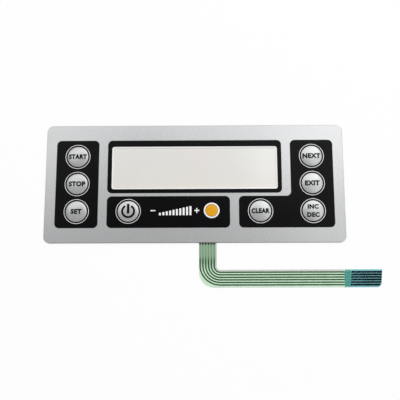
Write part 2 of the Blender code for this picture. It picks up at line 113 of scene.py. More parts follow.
# Where a colour begins and ends its change, in millimetres
BLUSH_RISES, BLUSH_FALLS = (-14.0, 2.0), (4.0, 14.0)
WINDOW_LIGHTENS, CREAM_FADES = (14.0, 30.0), (-2.0, 11.0)
FILM_CLEARS, CONDUCTOR_BARE = (COAT_END, COAT_END + 0.4), (COAT_END, COAT_END + 0.5)
# The last of these spans is a painted shadow on the conductors just below the panel's edge.
COAT_DARKENS, CONDUCTOR_PALES, PANEL_EDGE_SHADOW = (-35.5, -31.0), (-31.5, -29.0), (-25.0, -24.8)
STIFFENER_PALES, CONTACT_WEAR = (61.0, 61.8), (62.5, 67.0)
STIFFENER_MARGIN = (2.85, 2.95)  # from the tail's middle
CONTACT_BORDER = (0.12, 0.14)  # from the middle of the gap between two contacts

PALE_END = (0.34, 0.74, 0.82)  # the stiffener's colour between the contacts

# The stage: places and widths in metres, the lens and its sensor in millimetres
FLOOR_SIZE, FLOOR_HEIGHT = 2.0, -0.00005
FLOOR_TOUCH = 0.9 * MM  # diffuse rays shorter than this pass through the floor
FLOOR_WHITENESS = 0.93  # share of plain white where the floor is seen
STUDIO_STRENGTH = 0.40
LAMPS = (  # name, place, width and energy
    ("key light", (0.069, 0.246, 0.333), 0.364, 0.60),
    ("fill light", (-0.164, 0.159, 0.353), 0.20, 0.18),
    ("side light", (0.297, 0.090, 0.284), 0.60, 1.0),
)
CAMERA_PLACE = Vector((4.482, -69.744, 294.738)) * MM
CAMERA_AIM = Vector((2.17, -6.92, 1.0)) * MM
CAMERA_UP = Vector((0.00399, 0.977883, 0.209117))
CAMERA_LENS, CAMERA_SENSOR = 67.58, 36.0


# ---------------------------------------------------------------- sizes and colours

def size(name, text, value):
    return FloatProperty(name=name, description=text, default=value * MM, min=0.0,
                         precision=5, unit="LENGTH", subtype="DISTANCE")


def colour(name, text, value):
    return FloatVectorProperty(name=name, description=text, default=value, size=3,
                               min=0.0, max=1.0, subtype="COLOR")


class KeypadSizes(bpy.types.PropertyGroup):
    panel_corner: size("Panel corner", "Corner radius of the panel", 2.3)
    key_radius: size("Key radius", "Radius of a raised key face", 4.16)
    emboss: size("Key height", "Height of a key face over the film", PANEL_HIGH.z - FILM_TOP)
    black_ring: size("Black ring", "Outer radius of the black ring round a key", 4.80)
    silver_ring: size("Silver ring", "Outer radius of the silver ring round a key", 5.01)
    bead: size("Ring height", "Height of the raised silver ring", 0.05)
    print_corner: size("Print corner", "Corner radius of a black field", 1.9)
    window_corner: size("Window corner", "Corner radius of the window's opening", 0.9)
    window_rim: size("Window rim", "Width of the white line inside the window's border", 0.4)
    capital: size("Capital height", "Height of a legend's capitals", 2.1)
    word: size("Word width", "Greatest width of a legend", 7.3)


class KeypadColours(bpy.types.PropertyGroup):
    silver: colour("Silver", "Satin silver print of the film", (0.468, 0.474, 0.478))
    ring: colour("Ring", "Bright ring round each key", (0.93, 0.94, 0.95))
    black: colour("Black", "Black screen ink", (0.002, 0.002, 0.0026))
    white: colour("White", "White screen ink", (0.95, 0.95, 0.94))
    paper: colour("Paper", "Release paper behind the window", (0.84, 0.83, 0.79))
    coat: colour("Green coat", "Insulating coat over the circuit", (0.69, 0.97, 0.71))
    conductor: colour("Conductor", "Silver ink under the green coat", (0.04, 0.09, 0.045))
    stiffener: colour("Stiffener", "Blue-green stiffener of the tail's end", (0.16, 0.54, 0.49))
    lamp: colour("Lamp", "Amber lens in the middle field", (0.85, 0.40, 0.01))


def sizes():
    return bpy.context.scene.keypad_sizes


def colours():
    return bpy.context.scene.keypad_colours


# ---------------------------------------------------------------- materials

def coordinates(tree):
    return tree.nodes.new("ShaderNodeTexCoord").outputs["Object"]


def place_axes(tree):
    """The object's own X, Y and Z at the point being shaded."""
    split = tree.nodes.new("ShaderNodeSeparateXYZ")
    tree.links.new(coordinates(tree), split.inputs["Vector"])
    return split.outputs


def feed(tree, value, socket):
    """Links a value that changes over the surface, or sets a plain number."""
    if isinstance(value, bpy.types.NodeSocket):
        tree.links.new(value, socket)
    else:
        socket.default_value = value


def noise(tree, vector, scale, detail=2.0, roughness=0.5):
    node = tree.nodes.new("ShaderNodeTexNoise")
    tree.links.new(vector, node.inputs["Vector"])
    feed(tree, scale, node.inputs["Scale"])
    node.inputs["Detail"].default_value = detail
    node.inputs["Roughness"].default_value = roughness
    return node.outputs["Fac"]


def mapped(tree, value, low, high, to_low=0.0, to_high=1.0):
    """A value stretched from one range to another, smoothly."""
    node = tree.nodes.new("ShaderNodeMapRange")
    node.interpolation_type = "SMOOTHSTEP"
    tree.links.new(value, node.inputs["Value"])
    for name, number in (("From Min", low), ("From Max", high), ("To Min", to_low), ("To Max", to_high)):
        feed(tree, number, node.inputs[name])
    return node.outputs["Result"]


def ramp(tree, length, span, to_low=0.0, to_high=1.0):
    """A length stretched from a span in millimetres to another range, smoothly."""
    low, high = span
    return mapped(tree, length, low * MM, high * MM, to_low, to_high)


def clouds(tree, scale, detail=2.0, low=0.0, high=1.0):
    """Slow clouds over the object, as a value from low to high."""
    return mapped(tree, noise(tree, coordinates(tree), scale, detail), 0.3, 0.7, low, high)


def mixed(tree, share, first, second):
    """Two colours mixed by a share; 6, 7 and output 2 are the Mix node's colour sockets."""
    node = tree.nodes.new("ShaderNodeMix")
    node.data_type = "RGBA"
    tree.links.new(share, node.inputs["Factor"])
    for socket, value in ((node.inputs[6], first), (node.inputs[7], second)):
        if isinstance(value, bpy.types.NodeSocket):
            tree.links.new(value, socket)
        else:
            socket.default_value = (*value, 1.0)
    return node.outputs[2]


def maths(tree, operation, first, second):
    node = tree.nodes.new("ShaderNodeMath")
    node.operation = operation
    for socket, value in zip(node.inputs, (first, second)):
        feed(tree, value, socket)
    return node.outputs["Value"]


def shade(colour_value, share):
    return tuple(min(1.0, channel * share) for channel in colour_value)


def surface_grain():
    """Node group: slow clouds in the colour, and a fine grain for roughness and bump."""
    known = bpy.data.node_groups.get("surface grain")
    if known:
        return known
    tree = bpy.data.node_groups.new("surface grain", "ShaderNodeTree")
    for name, kind, default in (
        ("Colour", "NodeSocketColor", (0.8, 0.8, 0.8, 1.0)),
        ("Cloud Colour", "NodeSocketColor", (0.7, 0.7, 0.7, 1.0)),
        ("Cloud Scale", "NodeSocketFloat", 60.0),
        ("Grain Scale", "NodeSocketFloat", 6000.0),
        ("Smoothest", "NodeSocketFloat", 0.35),
        ("Roughest", "NodeSocketFloat", 0.45),
    ):
        socket = tree.interface.new_socket(name=name, in_out="INPUT", socket_type=kind)
        socket.default_value = default
    for name, kind in (("Colour", "NodeSocketColor"), ("Roughness", "NodeSocketFloat"),
                       ("Height", "NodeSocketFloat")):
        tree.interface.new_socket(name=name, in_out="OUTPUT", socket_type=kind)
    start, end = tree.nodes.new("NodeGroupInput"), tree.nodes.new("NodeGroupOutput")
    place = coordinates(tree)
    cloud = noise(tree, place, start.outputs["Cloud Scale"], 3.0, 0.55)
    grain = noise(tree, place, start.outputs["Grain Scale"], 2.0, 0.6)
    tint = mixed(tree, mapped(tree, cloud, 0.3, 0.7), start.outputs["Colour"], start.outputs["Cloud Colour"])
    tree.links.new(tint, end.inputs["Colour"])
    tree.links.new(mapped(tree, grain, 0.25, 0.75, start.outputs["Smoothest"], start.outputs["Roughest"]),
                   end.inputs["Roughness"])
    tree.links.new(grain, end.inputs["Height"])
    return tree


def principled(name, **constants):
    """A new material and its shader, with the shader's own constants set."""
    material = bpy.data.materials.new(name)
    material.use_nodes = True
    tree = material.node_tree
    tree.nodes.clear()
    output = tree.nodes.new("ShaderNodeOutputMaterial")
    shader = tree.nodes.new("ShaderNodeBsdfPrincipled")
    tree.links.new(shader.outputs["BSDF"], output.inputs["Surface"])
    for socket, value in constants.items():
        shader.inputs[socket.replace("_", " ")].default_value = value
    return material, tree, shader


def grained(name, base, cloud, smoothest, roughest, cloud_scale=60.0, grain_scale=6000.0,
            bump=0.004, strength=0.5, **constants):
    """A material with the surface grain in its colour, roughness and bump."""
    material, tree, shader = principled(name, **constants)
    group = tree.nodes.new("ShaderNodeGroup")
    group.node_tree = surface_grain()
    group.inputs["Colour"].default_value = (*base, 1.0)
    group.inputs["Cloud Colour"].default_value = (*cloud, 1.0)
    group.inputs["Cloud Scale"].default_value = cloud_scale
    group.inputs["Grain Scale"].default_value = grain_scale
    group.inputs["Smoothest"].default_value = smoothest
    group.inputs["Roughest"].default_value = roughest
    tree.links.new(group.outputs["Colour"], shader.inputs["Base Color"])
    tree.links.new(group.outputs["Roughness"], shader.inputs["Roughness"])
    relief = tree.nodes.new("ShaderNodeBump")
    relief.inputs["Strength"].default_value = strength
    relief.inputs["Distance"].default_value = bump * MM
    tree.links.new(group.outputs["Height"], relief.inputs["Height"])
    tree.links.new(relief.outputs["Normal"], shader.inputs["Normal"])
    return material, tree, shader, group


def edge_band_and_shade():
    """Node group: 1 on the walls and the rounded edge of the panel's outline, and 0 inside it; this band
    carries the cut edge's colour and painted shade.
    """
    known = bpy.data.node_groups.get("cut edge")
    if known:
        return known
    tree = bpy.data.node_groups.new("cut edge", "ShaderNodeTree")
    for name in ("Half Length", "Half Width"):
        tree.interface.new_socket(name=name, in_out="INPUT", socket_type="NodeSocketFloat")
    tree.interface.new_socket(name="Mask", in_out="OUTPUT", socket_type="NodeSocketFloat")
    start, end = tree.nodes.new("NodeGroupInput"), tree.nodes.new("NodeGroupOutput")
    axes = place_axes(tree)
    across = maths(tree, "SUBTRACT", maths(tree, "ABSOLUTE", axes["X"], 0.0), start.outputs["Half Length"])
    along = maths(tree, "SUBTRACT", maths(tree, "ABSOLUTE", axes["Y"], 0.0), start.outputs["Half Width"])
    tree.links.new(maths(tree, "GREATER_THAN", maths(tree, "MAXIMUM", across, along), -EDGE_BAND * MM),
                   end.inputs["Mask"])
    return tree


def darken_edge(tree, shader, inside, edge):
    """Gives a film's cut outline a dark colour of its own, partly the cut edge's colour and partly painted
    shade.
    """
    group = tree.nodes.new("ShaderNodeGroup")
    group.node_tree = edge_band_and_shade()
    group.inputs["Half Length"].default_value = PANEL_HIGH.x * MM
    group.inputs["Half Width"].default_value = PANEL_HIGH.y * MM
    tree.links.new(mixed(tree, group.outputs["Mask"], inside, edge), shader.inputs["Base Color"])


def once(make):
    """Makes a material the first time it is asked for, and hands the same one out later."""
    made = {}

    def ask():
        if "material" not in made or made["material"].name not in bpy.data.materials:
            made["material"] = make()
        return made["material"]
    return ask


@once
def satin_silver():
    base = tuple(colours().silver)
    material, tree, shader, group = grained(
        "satin silver print", base, shade(base, 0.98), 0.24, 0.28,
        cloud_scale=45.0, grain_scale=9000.0, bump=0.001, strength=0.3, Metallic=0.4)
    # The dark brown on the outline is partly the printed film's cut edge and partly painted shade along the
    # panel's edge.
    darken_edge(tree, shader, group.outputs["Colour"], (0.075, 0.064, 0.055))
    return material


@once
def bright_ring():
    base = tuple(colours().ring)
    return grained("bright ring print", base, shade(base, 0.96), 0.26, 0.32, cloud_scale=200.0,
                   grain_scale=9000.0, bump=0.001, strength=0.3, Metallic=0.2)[0]


@once
def black_ink():
    base = tuple(colours().black)
    return grained("black screen ink", base, shade(base, 1.6), 0.22, 0.27, cloud_scale=90.0,
                   grain_scale=9000.0, bump=0.001, strength=0.3, Specular_IOR_Level=0.06)[0]


@once
def legend_ink():
    base = tuple(colours().black)
    return grained("legend ink", base, shade(base, 2.0), 0.45, 0.60, cloud_scale=300.0,
                   grain_scale=9000.0, bump=0.002, strength=0.4, Specular_IOR_Level=0.03)[0]


@once
def white_ink():
    base = tuple(colours().white)
    return grained("white screen ink", base, shade(base, 0.94), 0.45, 0.58, cloud_scale=250.0,
                   grain_scale=9000.0, bump=0.002, strength=0.4)[0]


@once
def hazed_window():
    material, tree, shader, group = grained(
        "hazed window film", (0.865, 0.86, 0.84), (0.85, 0.835, 0.80), 0.22, 0.30, cloud_scale=40.0,
        grain_scale=5000.0, bump=0.001, strength=0.3, Specular_IOR_Level=0.30)
    axes = place_axes(tree)
    blush = maths(tree, "MULTIPLY", ramp(tree, axes["X"], BLUSH_RISES),
                  ramp(tree, axes["X"], BLUSH_FALLS, 1.0, 0.0))
    pink = mixed(tree, maths(tree, "MULTIPLY", blush, 0.35), group.outputs["Colour"], (0.88, 0.82, 0.79))
    # The film's colour turns lighter and whiter towards the right.
    clear = mixed(tree, ramp(tree, axes["X"], WINDOW_LIGHTENS), pink, (0.94, 0.935, 0.91))
    cream = maths(tree, "MULTIPLY", ramp(tree, axes["Y"], CREAM_FADES, 1.0, 0.0), 0.6)
    tree.links.new(mixed(tree, cream, clear, (0.89, 0.865, 0.79)), shader.inputs["Base Color"])
    tree.links.new(clouds(tree, 30.0, 2.0, 0.80, 0.86), shader.inputs["Alpha"])
    return material


@once
def release_paper():
    base = tuple(colours().paper)
    material, tree, shader, group = grained(
        "release paper", base, shade(base, 0.98), 0.62, 0.75, cloud_scale=110.0, grain_scale=2600.0,
        bump=0.006, strength=0.4, Specular_IOR_Level=0.25)
    # The dark brown on the paper's outline is painted shade along the panel's edge.
    darken_edge(tree, shader, group.outputs["Colour"], (0.10, 0.09, 0.075))
    return material


@once
def clear_adhesive():
    # The near-black colour is painted shade: the adhesive's side shows as a dark line along the panel's
    # edge.
    return grained("transfer adhesive", (0.05, 0.045, 0.038), (0.035, 0.032, 0.027), 0.35, 0.5,
                   cloud_scale=400.0, grain_scale=3000.0, bump=0.006, strength=0.5)[0]


@once
def milky_spacer():
    # The near-black colour is painted shade: the milky spacer's side shows as a dark line along the panel's
    # edge.
    return grained("milky spacer film", (0.07, 0.064, 0.058), (0.05, 0.046, 0.042), 0.35, 0.5,
                   cloud_scale=250.0, grain_scale=4000.0, bump=0.004, strength=0.4)[0]


@once
def circuit_polyester():
    material, tree, shader, _ = grained(
        "clear circuit film", (0.30, 0.36, 0.28), (0.26, 0.32, 0.24), 0.18, 0.3, cloud_scale=120.0,
        grain_scale=4000.0, bump=0.001, strength=0.3, Specular_IOR_Level=0.12)
    axes = place_axes(tree)
    ending = ramp(tree, axes["X"], FILM_CLEARS, 0.30, 0.04)
    veil = clouds(tree, 200.0, 2.0, 0.0, 0.04)
    tree.links.new(maths(tree, "ADD", ending, veil), shader.inputs["Alpha"])
    return material


@once
def green_coat():
    base = tuple(colours().coat)
    material, tree, shader, group = grained(
        "green insulating coat", base, shade(base, 0.94), 0.3, 0.42, cloud_scale=260.0,
        grain_scale=5000.0, bump=0.002, strength=0.4, Specular_IOR_Level=0.2)
    tree.links.new(clouds(tree, 350.0, 3.0, 0.80, 0.87), shader.inputs["Alpha"])
    drop = ramp(tree, place_axes(tree)["Y"], COAT_DARKENS)
    tint = mixed(tree, drop, group.outputs["Colour"], (0.335, 0.53, 0.35))
    tree.links.new(tint, shader.inputs["Base Color"])
    return material


@once
def coated_conductor():
    base = tuple(colours().conductor)
    material, tree, shader, group = grained(
        "coated silver ink", base, shade(base, 0.8), 0.35, 0.5, cloud_scale=500.0,
        grain_scale=5000.0, bump=0.004, strength=0.5, Specular_IOR_Level=0.15)
    axes = place_axes(tree)
    under = ramp(tree, axes["Y"], CONDUCTOR_PALES)
    pale = mixed(tree, under, group.outputs["Colour"], (0.22, 0.33, 0.23))
    # Painted shadow: the conductors turn nearly black just below the panel's edge, where they go under it.
    panel_edge_shadow = ramp(tree, axes["Y"], PANEL_EDGE_SHADOW)
    dark = mixed(tree, panel_edge_shadow, pale, (0.015, 0.025, 0.015))
    bare = ramp(tree, axes["X"], CONDUCTOR_BARE)
    tree.links.new(mixed(tree, bare, dark, (0.05, 0.29, 0.25)), shader.inputs["Base Color"])
    return material


@once
def blue_stiffener():
    base = tuple(colours().stiffener)
    material, tree, shader, group = grained(
        "blue-green stiffener", base, shade(base, 0.9), 0.35, 0.5, cloud_scale=300.0,
        grain_scale=4000.0, bump=0.004, strength=0.5, Specular_IOR_Level=0.15)
    axes = place_axes(tree)
    beside = ramp(tree, axes["X"], STIFFENER_PALES)
    from_middle = maths(tree, "ABSOLUTE", maths(tree, "SUBTRACT", axes["Y"], TAIL_MIDDLE * MM), 0.0)
    margin = ramp(tree, from_middle, STIFFENER_MARGIN)
    pale = mixed(tree, margin, PALE_END, (0.22, 0.62, 0.69))
    tree.links.new(mixed(tree, beside, group.outputs["Colour"], pale), shader.inputs["Base Color"])
    return material


@once
def carbon_ink():
    material, tree, shader, group = grained(
        "carbon ink", (0.0, 0.009, 0.013), (0.001, 0.014, 0.019), 0.4, 0.55, cloud_scale=450.0,
        grain_scale=6000.0, bump=0.004, strength=0.5, Specular_IOR_Level=0.03)
    axes = place_axes(tree)
    start = ramp(tree, axes["X"], CONTACT_WEAR, 1.0, 0.0)
    crackle = mapped(tree, noise(tree, coordinates(tree), 1500.0, 3.0, 0.7), 0.52, 0.64)
    worn = mixed(tree, maths(tree, "MULTIPLY", start, crackle), group.outputs["Colour"],
                 (0.05, 0.17, 0.19))
    across = maths(tree, "SUBTRACT", axes["Y"], TAIL_MIDDLE * MM)
    from_gap = maths(tree, "PINGPONG", across, CONTACT_PITCH / 2 * MM)
    border = ramp(tree, from_gap, CONTACT_BORDER, 1.0, 0.0)
    tree.links.new(mixed(tree, border, worn, PALE_END), shader.inputs["Base Color"])
    return material


@once
def spring_steel():
    return grained("spring steel", (0.62, 0.60, 0.56), (0.56, 0.54, 0.50), 0.2, 0.34,
                   cloud_scale=500.0, grain_scale=5000.0, bump=0.002, strength=0.4, Metallic=1.0)[0]


@once
def natural_plastic():
    return grained("natural plastic", (0.78, 0.78, 0.75), (0.74, 0.74, 0.71), 0.4, 0.52,
                   cloud_scale=300.0, grain_scale=3000.0, bump=0.006, strength=0.4)[0]


@once
def amber_lens():
    base = tuple(colours().lamp)
    return grained("amber lens", base, shade(base, 0.85), 0.12, 0.2, cloud_scale=350.0,
                   grain_scale=4000.0, bump=0.002, strength=0.3, Coat_Weight=0.15, Specular_IOR_Level=0.2)[0]


# ---------------------------------------------------------------- shapes

def add_object(name, bm, material):
    """A new object in the scene, with the bmesh as its mesh."""
    mesh = bpy.data.meshes.new(name)
    bm.to_mesh(mesh)
    bm.free()
    mesh.materials.append(material)
    made = bpy.data.objects.new(name, mesh)
    bpy.context.scene.collection.objects.link(made)
    return made


def finish_piece(name, bm, material, replaced=(), smooth=False, body="keypad"):
    """Turns a bmesh in millimetres into a piece that rides on a body."""
    bmesh.ops.scale(bm, vec=(MM, MM, MM), verts=bm.verts[:])
    piece = add_object(name, bm, material)
    if smooth:
        piece.data.shade_smooth()
    else:
        piece.data.shade_flat()
    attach(piece, body)
    if replaced:
        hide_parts(*replaced)
    return piece


def add_outline(bm, corners):
    """Adds the edges of a closed outline; each corner is x, y and its radius."""
    verts = [bm.verts.new((x, y, 0.0)) for x, y, _ in corners]
    bm.faces.new(verts)
    for vert, (_, _, radius) in zip(verts, corners):
        if radius:
            bmesh.ops.bevel(bm, geom=[vert], offset=radius, offset_type="OFFSET",
                            segments=max(4, round(radius * 6)), profile=0.5,
                            affect="VERTICES", material=-1)
    bmesh.ops.delete(bm, geom=bm.faces[:], context="FACES_ONLY")


def rectangle(x0, y0, x1, y1, radius):
    return [(x0, y0, radius), (x1, y0, radius), (x1, y1, radius), (x0, y1, radius)]


def add_circle(bm, x, y, radius, segments=96):
    bmesh.ops.create_circle(bm, cap_ends=False, segments=segments, radius=radius,
                            matrix=Matrix.Translation((x, y, 0.0)))


def fill(bm):
    """Faces between closed outlines, which leave what lies inside a second one open."""
    bmesh.ops.triangle_fill(bm, use_beauty=True, use_dissolve=False, edges=bm.edges[:], normal=(0, 0, 1))


def cut_sheet(outlines, circles, low, high):
    """A flat sheet between two heights, cut along outlines and round holes."""
    bm = bmesh.new()
    for corners in outlines:
        add_outline(bm, corners)
    for circle in circles:
        add_circle(bm, *circle)
    fill(bm)
    return thicken(bm, low, high)


def thicken(bm, low, high):
    """Gives flat faces at height 0 a thickness from low to high."""
    bmesh.ops.translate(bm, verts=bm.verts[:], vec=(0.0, 0.0, low))
    grown = bmesh.ops.extrude_face_region(bm, geom=bm.faces[:])
    upper = [part for part in grown["geom"] if isinstance(part, bmesh.types.BMVert)]
    bmesh.ops.translate(bm, verts=upper, vec=(0.0, 0.0, high - low))
    bmesh.ops.recalc_face_normals(bm, faces=bm.faces[:])
    return bm


def soften_top(bm, height, width):
    """Rounds the edges where a sheet's top meets its walls."""
    edges = [edge for edge in bm.edges
             if all(abs(vert.co.z - height) < 1e-6 for vert in edge.verts)
             and len(edge.link_faces) == 2 and edge.calc_face_angle() > 0.5]
    bmesh.ops.bevel(bm, geom=edges, offset=width, offset_type="OFFSET", segments=2, profile=0.5,
                    affect="EDGES", material=-1)


def spun(profile, x, y, loop=False, steps=96):
    """A profile of radius and height turned about an upright axis at x, y."""
    bm = bmesh.new()
    verts = [bm.verts.new((radius, 0.0, height)) for radius, height in profile]
    pairs = list(zip(verts, verts[1:])) + ([(verts[-1], verts[0])] if loop else [])
    edges = [bm.edges.new(pair) for pair in pairs]
    bmesh.ops.spin(bm, geom=verts + edges, cent=(0, 0, 0), axis=(0, 0, 1), dvec=(0, 0, 0),
                   angle=2 * math.pi, steps=steps, use_merge=True, use_normal_flip=False,
                   use_duplicate=False)
    bmesh.ops.remove_doubles(bm, verts=bm.verts[:], dist=1e-6)
    bmesh.ops.recalc_face_normals(bm, faces=bm.faces[:])
    bmesh.ops.translate(bm, verts=bm.verts[:], vec=(x, y, 0.0))
    return bm


def arch(middle, half, base, height):
    """The profile of a rounded ring, from its outer foot over its top to its inner foot."""
    return [(middle + half * math.cos(turn), base + height * math.sin(turn))
            for turn in (math.pi * i / 8 for i in range(9))]


def pillow(radius):
    """Height of an embossed key face over the film, at a distance from its middle."""
    share = min(1.0, radius * MM / sizes().key_radius)
    return sizes().emboss / MM * (1.0 - share * share) ** KEY_POWER


def word_mesh(text, widest, height):
    """A word as flat faces round the origin, in millimetres, narrowed where it would be too wide."""
    curve = bpy.data.curves.new("word", "FONT")
    curve.body = text
    curve.align_x = "CENTER"
    curve.offset = 0.06
    curve.space_character = 1.1
    curve.resolution_u = 4
    holder = bpy.data.objects.new("word", curve)
    bpy.context.scene.collection.objects.link(holder)
    bpy.context.view_layer.update()
    mesh = bpy.data.meshes.new_from_object(holder.evaluated_get(bpy.context.evaluated_depsgraph_get()))
    bpy.data.objects.remove(holder)
    bpy.data.curves.remove(curve)
    bm = bmesh.new()
    bm.from_mesh(mesh)
    bpy.data.meshes.remove(mesh)
    bmesh.ops.remove_doubles(bm, verts=bm.verts[:], dist=1e-5)
    low = Vector((min(v.co.x for v in bm.verts), min(v.co.y for v in bm.verts), 0.0))
    high = Vector((max(v.co.x for v in bm.verts), max(v.co.y for v in bm.verts), 0.0))
    bmesh.ops.translate(bm, verts=bm.verts[:], vec=-(low + high) / 2)
    up = height / (high.y - low.y)
    along = min(up, widest / (high.x - low.x))
    bmesh.ops.scale(bm, verts=bm.verts[:], vec=(along, up, 1.0))
    return bm


def join(parts):
    """Several flat bmeshes, each moved by x and y, in one."""
    whole = bmesh.new()
    for bm, x, y in parts:
        bmesh.ops.translate(bm, verts=bm.verts[:], vec=(x, y, 0.0))
        mesh = bpy.data.meshes.new("part")
        bm.to_mesh(mesh)
        bm.free()
        whole.from_mesh(mesh)
        bpy.data.meshes.remove(mesh)
    return whole


def drape(bm, key, thickness=0.012, lift=0.004):
    """Lays flat faces over a key's face and gives them the ink's thickness."""
    step = 0.35
    reach = 4.2
    for axis in ((1, 0, 0), (0, 1, 0)):
        place = -reach
        while place < reach:
            bmesh.ops.bisect_plane(bm, geom=bm.verts[:] + bm.edges[:] + bm.faces[:], dist=1e-5,
                                   plane_co=Vector(axis) * place, plane_no=axis)
            place += step
    bmesh.ops.triangulate(bm, faces=bm.faces[:])
    thicken(bm, lift, lift + thickness)
    x, y = key_centre(key)
    for vert in bm.verts:
        vert.co.z += FILM_TOP + pillow(math.hypot(vert.co.x, vert.co.y))
    bmesh.ops.translate(bm, verts=bm.verts[:], vec=(x, y, 0.0))
    return bm


def press(piece):
    """Gives a piece on a key's face a mesh of its own."""
    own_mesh(piece)


# ---------------------------------------------------------------- operators

class Piece:
    bl_options = {"REGISTER", "UNDO"}


class KEYPAD_OT_overlay(Piece, bpy.types.Operator):
    """Cut the silver overlay film, with its window and its key openings"""
    bl_idname = "keypad.overlay"
    bl_label = "Overlay film"

    def execute(self, context):
        s = sizes()
        rim = s.window_rim / MM
        opening = window_opening(rim)
        panel = rectangle(PANEL_LOW.x, PANEL_LOW.y, PANEL_HIGH.x, PANEL_HIGH.y, s.panel_corner / MM)
        holes = [(*key_centre(key), s.key_radius / MM) for key in KEYS]
        bm = cut_sheet([panel, opening], holes, FILM_BOTTOM, FILM_TOP)
        soften_top(bm, FILM_TOP, FILM_ROUNDING)
        finish_piece("overlay_sheet", bm, satin_silver(), ["overlay_film"])
        # The white line round the window is partly a printed rim and partly a painted highlight of the cut
        # edge; the white sheet down the cut wall is painted light over the shade inside the opening.
        flat = cut_sheet([window_opening(0.0), opening], [], FILM_TOP, RIM_TOP)
        inside = window_opening(rim + WHITE_WALL)
        white_wall = cut_sheet([opening, inside], [], FILM_BOTTOM - WHITE_WALL_DROP, RIM_TOP)
        both = join([(flat, 0.0, 0.0), (white_wall, 0.0, 0.0)])
        finish_piece("window_rim", both, white_ink())
        return {"FINISHED"}


def window_opening(inset):
    """The window's outline, set in from the black border's inner edge."""
    low, high = box("display_border_print")
    side, below, above = WINDOW_MARGINS
    r = sizes().window_corner / MM
    return rectangle(low.x + side + inset, low.y + below + inset,
                     high.x - side - inset, high.y - above - inset, r - inset / 2)


class KEYPAD_OT_key_faces(Piece, bpy.types.Operator):
    """Raise the eight round key faces out of the overlay film"""
    bl_idname = "keypad.key_faces"
    bl_label = "Key faces"

    def execute(self, context):
        radius = sizes().key_radius / MM
        wall = 0.2
        shares = [i / 12 for i in range(10)] + [0.80, 0.85, 0.9, 0.94, 0.97, 0.985, 0.995, 1.0]
        outer = [(radius * share, FILM_TOP + pillow(radius * share)) for share in shares]
        inner = [(r, z - wall) for r, z in reversed(outer)]
        for key in KEYS:
            bm = spun(outer + inner, *key_centre(key))
            piece = finish_piece(f"{key}_key_face", bm, satin_silver(),
                                 ["overlay_film"], smooth=True)
            press(piece)
        return {"FINISHED"}


class KEYPAD_OT_black_fields(Piece, bpy.types.Operator):
    """Print the four black fields round the keys and the window"""
    bl_idname = "keypad.black_fields"
    bl_label = "Black fields"

    def execute(self, context):
        s = sizes()
        r = s.print_corner / MM
        arm_top = box("centre_print")[1].y
        for name in PRINTS:
            low, high = box(name)
            outlines = [rectangle(low.x, low.y, high.x, high.y, r)]
            if name == "display_border_print":
                outlines.append(window_opening(0.0))
            if name == "right_key_print":
                inside = -box("left_key_print")[1].x
                outlines = [[(low.x, low.y, r), (high.x, low.y, r), (high.x, high.y, r),
                             (inside, high.y, r), (inside, arm_top, r), (low.x, arm_top, r)]]
            holes = []
            for key in KEYS:
                x, y = key_centre(key)
                if low.x < x < high.x and low.y < y < high.y:
                    holes.append((x, y, s.silver_ring / MM))
            bm = cut_sheet(outlines, holes, INK_BOTTOM, INK_TOP)
            finish_piece(f"{name}_ink", bm, black_ink(), [name])
        return {"FINISHED"}


class KEYPAD_OT_key_rings(Piece, bpy.types.Operator):
    """Lay the black ring and the raised silver ring round each key"""
    bl_idname = "keypad.key_rings"
    bl_label = "Key rings"

    def execute(self, context):
        s = sizes()
        inner, black, silver = s.key_radius / MM + RING_GAP, s.black_ring / MM, s.silver_ring / MM
        flat = [(inner, INK_BOTTOM), (black, INK_BOTTOM), (black, INK_TOP), (inner, INK_TOP)]
        bead = arch((black + silver) / 2, (silver - black) / 2, INK_BOTTOM, s.bead / MM)
        for key in KEYS:
            x, y = key_centre(key)
            finish_piece(f"{key}_black_ring", spun(flat, x, y, loop=True), black_ink(),
                         [f"{key}_key_ring"])
            finish_piece(f"{key}_silver_ring", spun(bead, x, y, loop=True), bright_ring(),
                         smooth=True)
        return {"FINISHED"}


class KEYPAD_OT_legends(Piece, bpy.types.Operator):
    """Print each key's word, and the power key's sign"""
    bl_idname = "keypad.legends"
    bl_label = "Legends"

    def execute(self, context):
        s = sizes()
        tall = s.capital / MM
        for key, words in LEGENDS.items():
            parts = []
            for row, text in enumerate(words):
                rise = ((len(words) - 1) / 2 - row) * ROW_STEP
                height = tall if len(words) == 1 else tall * ROW_CAPITAL
                parts.append((word_mesh(text, s.word / MM, height), 0.0, rise))
            piece = finish_piece(f"{key}_legend", drape(join(parts), key), legend_ink())
            press(piece)
        piece = finish_piece("power_legend", drape(power_sign(), "power"), legend_ink())
        press(piece)
        return {"FINISHED"}


def power_sign():
    """An open ring with an upright bar through its gap."""
    inner, outer, gap = 1.96, 2.80, math.radians(29)
    width, length, rise = 1.0, 4.0, 1.05
    ring = bmesh.new()
    verts = [ring.verts.new((math.sin(gap) * r, math.cos(gap) * r, 0.0)) for r in (inner, outer)]
    edge = ring.edges.new(verts)
    bmesh.ops.spin(ring, geom=verts + [edge], cent=(0, 0, 0), axis=(0, 0, -1), dvec=(0, 0, 0),
                   angle=2 * (math.pi - gap), steps=64, use_merge=False, use_normal_flip=False,
                   use_duplicate=False)
    bar = bmesh.new()
    bmesh.ops.create_grid(bar, x_segments=1, y_segments=1, size=0.5,
                          matrix=Matrix.Diagonal((width, length, 1.0, 1.0)))
    return join([(ring, 0.0, 0.0), (bar, 0.0, rise)])


def plus_sign(x, y, arm, half):
    """A plus sign's outline round x, y."""
    side = [(-arm, -half), (-half, -half), (-half, -arm), (half, -arm), (half, -half), (arm, -half)]
    return [(x + turn * along, y + turn * up, 0.0) for turn in (1, -1) for along, up in side]


